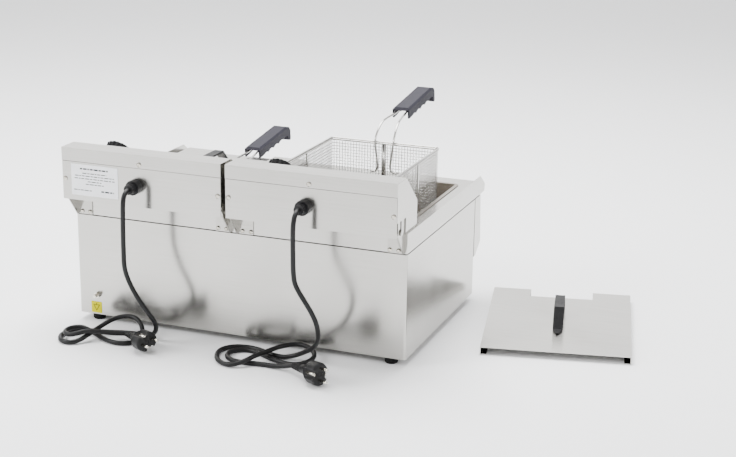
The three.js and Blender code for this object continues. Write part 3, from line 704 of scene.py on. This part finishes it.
def woven_tub(tag):
    low, high = (Vector(c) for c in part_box(f"basket_{tag}_mesh"))
    inset = MESH_WIRE
    low, high = low + Vector((inset, inset, inset)), high - Vector((inset, inset, 0))
    size = high - low
    steel = MATERIALS["wire_steel"]
    counts = [int(round((size[i] - 0.006) / MESH_PITCH)) for i in range(2)]
    steps = [(size[i] - 0.006) / counts[i] for i in range(2)]
    levels = int(size.z / MESH_PITCH)
    thick = MESH_WIRE * 1.5
    along_y = u_wire(Vector((low.x + 0.003, low.y, high.z)), Vector((0, size.y, 0)), size.z, 0.006)
    along_x = u_wire(Vector((low.x, low.y + 0.003, high.z)), Vector((size.x, 0, 0)), size.z, 0.006)
    within = Vector((thick, thick, 0))
    ring = rounded_loop(low + within, high - within, high.z - 0.004, 0.005, 3)
    parts = [
        repeated_wire(f"wires_y_{tag}", along_y, False, counts[0] + 1, (steps[0], 0, 0), MESH_WIRE, steel),
        repeated_wire(f"wires_x_{tag}", along_x, False, counts[1] + 1, (0, steps[1], 0), MESH_WIRE, steel),
        repeated_wire(f"wires_z_{tag}", ring, True, levels, (0, 0, -MESH_PITCH), MESH_WIRE, steel),
    ]
    tub = merged(f"basket_{tag}_tub", parts)
    tub.data.materials.clear()
    tub.data.materials.append(steel)
    tub.data.shade_smooth()
    return tub


def bar(name, line, radius, closed=False, sides=3):
    return plain_mesh(name, curve_piece(name, line, radius, closed, sides))


def welded_frame(tag):
    low, high = (Vector(c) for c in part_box(f"basket_{tag}_mesh"))
    middle = (low.x + high.x) / 2
    rim = high.z + 0.0033
    out = Vector((0.001, 0.001, 0))
    parts = [
        bar(f"rim_{i}", rounded_loop(low - out, high + out, rim + dz, 0.008), RIM_WIRE, True)
        for i, dz in enumerate((-0.0015, 0.0016))
    ]
    inner = Vector((0.0022, 0.0022, 0))
    inner_loop = rounded_loop(low + inner, high - inner, rim - 0.0004, 0.005)
    parts.append(bar("rim_in", inner_loop, RIM_WIRE * 0.8, True))
    bar_y = low.y + 0.112
    side = 0.0018
    floor = low.z - 0.0018
    hoop = [
        (low.x - side, bar_y, rim - 0.001), (low.x - side, bar_y, floor + 0.006),
        (low.x - side + 0.002, bar_y, floor + 0.0015), (low.x + 0.006, bar_y, floor),
        (high.x - 0.006, bar_y, floor), (high.x + side - 0.002, bar_y, floor + 0.0015),
        (high.x + side, bar_y, floor + 0.006), (high.x + side, bar_y, rim - 0.001),
    ]
    parts.append(bar("hoop", [Vector(p) for p in hoop], 0.0015))
    wall = low.y + 0.0018
    strap_low = (middle - STRAP_HALF, wall, rim - STRAP_DROP)
    strap_high = (middle + STRAP_HALF, wall + 0.0006, rim + 0.0015)
    strap = box_piece("strap", strap_low, strap_high, 0.0002)
    lips = []
    for s in (-1, 1):
        lip_low = (middle + s * STRAP_LIP - 0.0004, wall, rim - STRAP_DROP)
        lip_high = (middle + s * STRAP_LIP + 0.0004, wall + 0.0022, rim + 0.001)
        lips.append(box_piece(f"strap_lip_{s}", lip_low, lip_high, 0.0002))
    tab_end = (middle + TAB_HALF, high.y + TAB_REACH, rim + 0.0007)
    tab = box_piece("tab", (middle - TAB_HALF, high.y - 0.001, rim - 0.0005), tab_end, 0.0003)
    hook_low = (middle - TAB_HALF, high.y + 0.0244, rim - HOOK_DROP)
    hook = box_piece("hook", hook_low, tab_end, 0.0003)
    parts += [strap, *lips, tab, hook]
    wire_y = low.y + 0.0038
    for side in (-1, 1):
        route = [
            (middle + side * apart, wire_y - ahead, rim + rise) for apart, ahead, rise in HANDLE_WIRE
        ]
        smooth = smooth_route([(Vector(p) - CENTRE) * 1000 for p in route], 2.5, 3)
        parts.append(bar(f"handle_wire_{side}", smooth, 0.0019, sides=4))
    piece = merged(f"basket_{tag}_welded_frame", parts)
    piece.data.materials.append(MATERIALS["wire_steel"])
    piece.data.shade_smooth()
    return piece


for tag in "LR":
    tub = woven_tub(tag)
    rim = welded_frame(tag)
    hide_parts(f"basket_{tag}_mesh")
    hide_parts(f"basket_{tag}_frame")
    for piece in (tub, rim):
        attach(piece, f"basket_{tag}")
        print(piece.name, len(piece.data.polygons), "faces")

# %% [markdown]
# ## Labels
# Plain rules and blocks in place of print, and a plain bonding mark.

# %% Labels


def printed_marks(name, blocks, wall, body):
    """Flat ink marks, each (x0, x1, z0, z1) in millimetres, on a plate that faces +Y."""
    bm = bmesh.new()
    for x0, x1, z0, z1 in blocks:
        corners = [at(x0, wall, z0), at(x0, wall, z1), at(x1, wall, z1), at(x1, wall, z0)]
        bm.faces.new([bm.verts.new(c) for c in corners])
    mesh = bpy.data.meshes.new(name)
    bm.normal_update()
    bm.to_mesh(mesh)
    bm.free()
    piece = bpy.data.objects.new(name, mesh)
    bpy.context.collection.objects.link(piece)
    piece.data.materials.append(MATERIALS["label_ink"])
    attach(piece, body)
    return piece


label_low, label_high = (Vector(c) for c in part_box("rating_label"))
left, top = (label_low.x - CENTRE.x) * 1000, label_high.z * 1000
LABEL_WIDTH = 88
rows = [(6, 2.6, 54), (14, 1.5, 46), (18.6, 1.5, 74), (23.2, 1.5, 76), (27.8, 1.5, 26), (32.4, 1.5, 34)]
marks = []


def print_row(start, end, drop, tall):
    """Word-long blocks filling a row between two distances from the label's +X edge."""
    word_index, reach = 0, start
    while reach < end:
        word = 3.0 + 1.3 * ((word_index * 7 + int(drop)) % 5)
        stop = min(reach + word, end)
        marks.append((left + LABEL_WIDTH - stop, left + LABEL_WIDTH - reach, top - drop - tall, top - drop))
        reach = stop + 1.5
        word_index += 1


for drop, tall, wide in rows:
    print_row((LABEL_WIDTH - wide) / 2, (LABEL_WIDTH + wide) / 2, drop, tall)
print_row(4, 38, 43, 1.5)
print_row(56, 80, 42, 2.6)
printed_marks("rating_print", marks, (label_high.y - CENTRE.y) * 1000 + 0.05, "head_L")

mark_low, mark_high = (Vector(c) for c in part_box("bonding_label"))
mid_x, mid_z = ((mark_low + mark_high) / 2 - CENTRE).x * 1000, (mark_low + mark_high).z * 500
wall = (mark_high.y - CENTRE.y) * 1000 + 0.05
ink = bmesh.new()
corner = [(-6.5, 4.6), (6.5, 4.6), (0, -6.6)]
inner = [(-4.7, 3.6), (4.7, 3.6), (0, -4.6)]
outer_verts = [ink.verts.new(at(mid_x + x, wall, mid_z + z)) for x, z in corner]
inner_verts = [ink.verts.new(at(mid_x + x, wall, mid_z + z)) for x, z in inner]
for i in range(3):
    j = (i + 1) % 3
    ink.faces.new([outer_verts[i], outer_verts[j], inner_verts[j], inner_verts[i]])
stem = [(-0.5, 3.6), (0.5, 3.6), (0.5, 7.6), (-0.5, 7.6)]
ink.faces.new([ink.verts.new(at(mid_x + x, wall, mid_z + z)) for x, z in stem])
ink.normal_update()
for face in ink.faces:
    if face.normal.y < 0:
        face.normal_flip()
ink_mesh = bpy.data.meshes.new("bonding_print")
ink.to_mesh(ink_mesh)
ink.free()
bonding = bpy.data.objects.new("bonding_print", ink_mesh)
bpy.context.collection.objects.link(bonding)
bonding.data.materials.append(MATERIALS["label_ink"])
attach(bonding, "housing")
print("marks", len(marks))

# %% [markdown]
# ## Studio
# A white bench that runs out of sight, a pale surround and four soft lights.

# %% Floor and lights
floor_mesh = bpy.data.meshes.new("studio_floor")
half = 12
floor_corners = [(-half, -half, 0), (half, -half, 0), (half, half, 0), (-half, half, 0)]
floor_mesh.from_pydata(floor_corners, [], [(0, 1, 2, 3)])
floor = bpy.data.objects.new("studio_floor", floor_mesh)
bpy.context.collection.objects.link(floor)
floor.location.z = -0.0002
material, tree, principled = shader("studio_white")
principled.inputs["Base Color"].default_value = (0.93, 0.935, 0.945, 1)
principled.inputs["Roughness"].default_value = 0.75
floor.data.materials.append(material)

world = bpy.data.worlds.new("studio")
world.use_nodes = True
world.node_tree.nodes["Background"].inputs["Color"].default_value = (1.0, 1.0, 1.0, 1)
world.node_tree.nodes["Background"].inputs["Strength"].default_value = 0.85
bpy.context.scene.world = world


def soft_light(name, place_mm, target_mm, size, power):
    light = bpy.data.lights.new(name, "AREA")
    light.shape = "RECTANGLE"
    light.size, light.size_y = size
    light.energy = power
    lamp = bpy.data.objects.new(name, light)
    lamp.location = at(*place_mm)
    lamp.rotation_mode = "QUATERNION"
    lamp.rotation_quaternion = (at(*target_mm) - lamp.location).to_track_quat("-Z", "Y")
    bpy.context.collection.objects.link(lamp)


soft_light("overhead", (350, -600, 2700), (-100, 450, 0), (2.4, 1.8), 250)
soft_light("backdrop", (1900, -5200, 2300), (0, 0, 250), (7.5, 3.2), 150)
soft_light("left_key", (2500, 2100, 2100), (0, 200, 100), (1.3, 1.3), 120)
soft_light("side_fill", (-2500, 300, 1500), (-200, 0, 100), (1.6, 1.2), 22)
